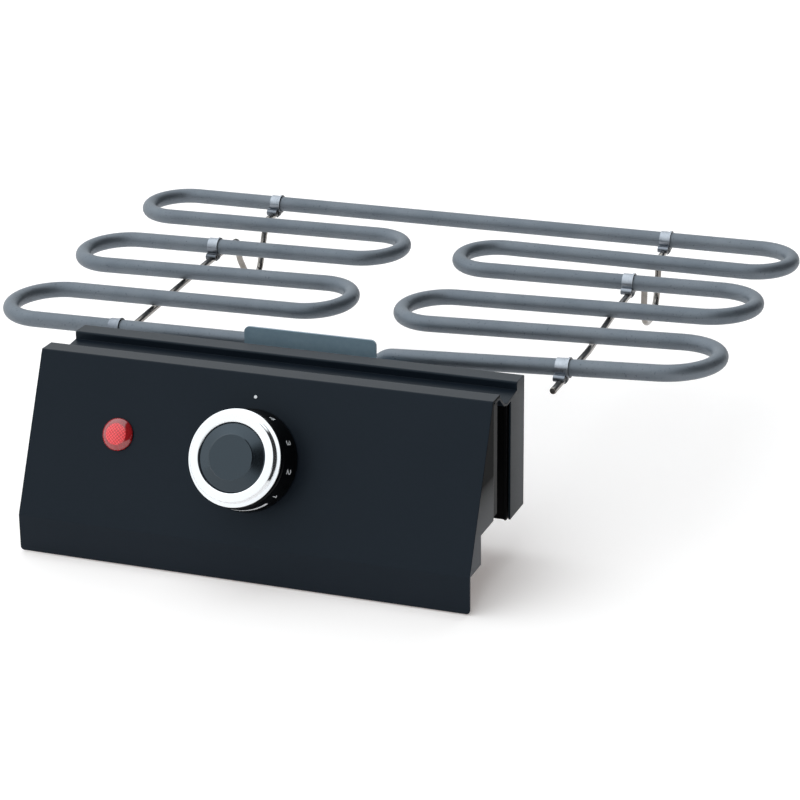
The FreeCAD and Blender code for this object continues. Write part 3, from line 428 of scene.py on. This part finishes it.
def skirt_print(name, glyphs):
    """Raised ink on the skirt: glyph up points to the panel, glyph right runs clockwise."""
    verts, faces = [], []

    def sheet(left, right, theta0, h0):
        base = len(verts)
        n = len(left)
        for lift in (0.0, 0.09):
            for side in (left, right):
                for gx, gy in side:
                    h = h0 - gy
                    verts.append(on_skirt(theta0 - gx / skirt_r(h), h, lift))
        for i in range(n - 1):
            l0, r0 = base + i, base + n + i
            tl, tr = base + 2 * n + i, base + 3 * n + i
            faces.append((tl, tl + 1, tr + 1, tr))
            faces.append((l0, r0, r0 + 1, l0 + 1))
            faces.append((l0, l0 + 1, tl + 1, tl))
            faces.append((r0, tr, tr + 1, r0 + 1))
        faces.append((base, base + 2 * n, base + 3 * n, base + n))
        e = n - 1
        faces.append((base + e, base + n + e, base + 3 * n + e, base + 2 * n + e))

    for digit, theta in glyphs:
        for stroke in STROKES[digit]:
            small = [(x * 0.78, 2.5 + (y - 2.5) * 0.66) for x, y in stroke]
            left, right = ribbon(resample(small, 0.3), 0.25)
            sheet(left, right, math.radians(theta), 10.3)
    # the arc: thin at its start and wide at its end
    n = 48
    left, right = [], []
    for i in range(n + 1):
        t = i / n
        along = -1.0 * (math.radians(-95.5 + 43.5 * t)) * 24.0
        half = 0.14 + 0.78 * t ** 1.1
        left.append((along, half))
        right.append((along, -half))
    sheet(left, right, 0.0, 7.0)
    return piece(name, verts, faces, "knob", [white_print], smooth=False)


skirt_print("knob_numerals", [("1", -39.5), ("2", -7.5), ("3", 26.0), ("4", 60.0)])


# ------------------------------------------------------------------ turned ring
def eased(profile, d=0.16):
    """A closed profile with small arcs for corners and a support point beside each arc."""
    out = []
    n = len(profile)
    for i in range(n):
        p = Vector(profile[i])
        a, b = Vector(profile[i - 1]), Vector(profile[(i + 1) % n])
        la, lb = (a - p).length, (b - p).length
        da, db = (a - p) / la, (b - p) / lb
        k = min(d, 0.30 * la, 0.30 * lb)
        out.append(p + da * (k * 1.4))
        for j in range(5):
            t = j / 4
            out.append((p + da * k) * (1 - t) ** 2 + p * 2 * t * (1 - t) + (p + db * k) * t ** 2)
        out.append(p + db * (k * 1.4))
    return out


def turned_ring():
    profile = eased([(16.36, 18.02), (22.8, 18.02), (23.05, 18.25), (23.05, 18.6), (22.9, 18.75), (21.15, 18.85),
                     (20.86, 22.2), (20.66, 22.4), (17.2, 22.4), (16.7, 22.25), (16.36, 21.7)])
    seg = 256
    n = len(profile)
    verts, faces = [], []
    for r, h in profile:
        for k in range(seg):
            a = 2 * math.pi * k / seg
            verts.append(at_panel(KNOB, r * math.cos(a), r * math.sin(a), h))
    for i in range(n):
        for k in range(seg):
            j, i2 = (k + 1) % seg, (i + 1) % n
            faces.append((i * seg + k, i * seg + j, i2 * seg + j, i2 * seg + k))
    o = piece("knob_ring_turned", verts, faces, "knob", [chrome])
    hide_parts("knob_ring")


turned_ring()


# ------------------------------------------------------------------ pilot lamp lens
def lamp_lens():
    """Round lens: straight rim, domed shoulder, and a window cut into small diamonds."""
    verts, faces, which = [], [], []
    seg = 96
    rim = [(7.9, 0.02), (7.9, 0.6), (7.88, 0.85), (7.72, 1.15), (7.40, 1.5), (6.98, 1.85), (6.5, 2.17), (6.0, 2.45),
           (5.6, 2.64), (5.2, 2.8)]
    for r, h in rim:
        for k in range(seg):
            a = 2 * math.pi * k / seg
            verts.append(at_panel(LAMP, r * math.cos(a), r * math.sin(a), h))
    for i in range(len(rim) - 1):
        for k in range(seg):
            j = (k + 1) % seg
            faces.append((i * seg + k, i * seg + j, (i + 1) * seg + j, (i + 1) * seg + k))
            which.append(0)
    # under side
    c0 = len(verts)
    for r, h in ((5.3, 0.02), (5.3, 1.1)):
        for k in range(seg):
            a = 2 * math.pi * k / seg
            verts.append(at_panel(LAMP, r * math.cos(a), r * math.sin(a), h))
    mid = len(verts)
    verts.append(at_panel(LAMP, 0, 0, 1.1))
    for k in range(seg):
        j = (k + 1) % seg
        faces.append((k, c0 + k, c0 + j, j))
        which.append(0)
        faces.append((c0 + k, c0 + seg + k, c0 + seg + j, c0 + j))
        which.append(0)
        faces.append((c0 + seg + k, mid, c0 + seg + j))
        which.append(0)
    # window: rings from the shoulder to the middle, raised into pyramids on two diagonal sets of cuts
    last = (len(rim) - 1) * seg
    rings = 44
    prev = last
    pitch = 1.22

    def tri(v):
        f = (v / pitch) % 1.0
        return 1.0 - abs(2.0 * f - 1.0)

    for i in range(1, rings):
        r = 5.2 * (1 - i / rings)
        row = len(verts)
        for k in range(seg):
            a = 2 * math.pi * k / seg
            x, y = r * math.cos(a), r * math.sin(a)
            q = (x + y) / math.sqrt(2), (x - y) / math.sqrt(2)
            fade = min(1.0, (5.2 - r) / 0.5)
            h = 2.80 + 0.85 * (1 - (r / 5.2) ** 2) + 0.06 * fade * min(tri(q[0]), tri(q[1]))
            verts.append(at_panel(LAMP, x, y, h))
        for k in range(seg):
            j = (k + 1) % seg
            faces.append((prev + k, prev + j, row + j, row + k))
            which.append(1)
        prev = row
    tip = len(verts)
    verts.append(at_panel(LAMP, 0, 0, 3.66))
    for k in range(seg):
        faces.append((prev + k, prev + (k + 1) % seg, tip))
        which.append(1)
    o = piece("lamp_lens_cut", verts, faces, "unit", [lens_rim, lens_glow], which)
    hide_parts("lamp_lens")
    return o


lamp_lens()


# ------------------------------------------------------------------ stage
SCENE.view_settings.view_transform = "Standard"


def stage_floor():
    me = bpy.data.meshes.new("floor")
    s = 6.0
    z = -0.0786
    me.from_pydata([(-s, -s, z), (s, -s, z), (s, s, z), (-s, s, z)], [], [(0, 1, 2, 3)])
    o = bpy.data.objects.new("floor", me)
    SCENE.collection.objects.link(o)
    m = Mat("floor_paper")
    m.color(m.ramp(m.noise(3.0), [(0.3, (0.915, 0.905, 0.895)), (0.7, (0.93, 0.92, 0.91))]))
    m.set(Roughness=0.9)
    m.b.inputs["Emission Color"].default_value = (1.0, 0.90, 0.86, 1.0)
    m.b.inputs["Emission Strength"].default_value = 0.24
    m.b.inputs["Specular IOR Level"].default_value = 0.1
    me.materials.append(m.m)


stage_floor()


def studio_world():
    """A white studio, brightest overhead and open to the left, with a dark wall on the right."""
    world = bpy.data.worlds.new("studio")
    SCENE.world = world
    world.use_nodes = True
    t = world.node_tree
    bg = t.nodes["Background"]
    co = t.nodes.new("ShaderNodeTexCoord").outputs["Generated"]

    def toward(direction, lo, hi):
        v = Vector(direction).normalized()
        d = t.nodes.new("ShaderNodeVectorMath")
        d.operation = "DOT_PRODUCT"
        d.inputs[1].default_value = v
        t.links.new(co, d.inputs[0])
        r = t.nodes.new("ShaderNodeMapRange")
        r.interpolation_type = "SMOOTHSTEP"
        r.inputs["From Min"].default_value = lo
        r.inputs["From Max"].default_value = hi
        t.links.new(d.outputs["Value"], r.inputs["Value"])
        return r.outputs["Result"]

    def blend(fac, a, b):
        n = t.nodes.new("ShaderNodeMix")
        n.data_type = "FLOAT"
        t.links.new(fac, n.inputs[0])
        for sock, v in ((n.inputs[2], a), (n.inputs[3], b)):
            if isinstance(v, (int, float)):
                sock.default_value = v
            else:
                t.links.new(v, sock)
        return n.outputs[0]

    level = blend(toward((0, 0, 1), 0.35, 0.95), 1.10, 1.75)
    left = t.nodes.new("ShaderNodeMath")
    left.operation = "MULTIPLY_ADD"
    t.links.new(toward((-0.9, -0.1, 0.4), 0.30, 0.95), left.inputs[0])
    left.inputs[1].default_value = 0.35
    t.links.new(level, left.inputs[2])
    level = blend(toward((1.0, -0.10, 0.15), 0.27, 0.41), left.outputs[0], 0.05)
    t.links.new(level, bg.inputs["Strength"])
    bg.inputs["Color"].default_value = (0.935, 0.975, 1.0, 1.0)


studio_world()


# ------------------------------------------------------------------ camera
def camera():
    az, el, roll = math.radians(20.26), math.radians(20.48), math.radians(-0.54)
    t = Vector((-56.04, -9.66, 1288.39))
    back = Vector((math.sin(az) * math.cos(el), -math.cos(az) * math.cos(el), math.sin(el)))
    fwd = -back
    right = fwd.cross(Vector((0, 0, 1))).normalized()
    up = right.cross(fwd)
    right2 = right * math.cos(roll) + up * math.sin(roll)
    up2 = -right * math.sin(roll) + up * math.cos(roll)
    # the fitted view's origin lies at this place of the row frame
    s = Vector((0.0, 9.15, 2.20))
    loc = s - (right2 * t.x - up2 * t.y + fwd * t.z)
    d = bpy.data.cameras.new("camera")
    d.lens = 2678.27 / 800 * 36.0
    d.sensor_width = 36.0
    d.clip_start = 0.05
    d.clip_end = 50
    o = bpy.data.objects.new("camera", d)
    m = Matrix(((right2.x, up2.x, -fwd.x, loc.x * MM), (right2.y, up2.y, -fwd.y, loc.y * MM),
                (right2.z, up2.z, -fwd.z, loc.z * MM), (0, 0, 0, 1)))
    o.matrix_world = m
    SCENE.collection.objects.link(o)
    SCENE.camera = o


camera()
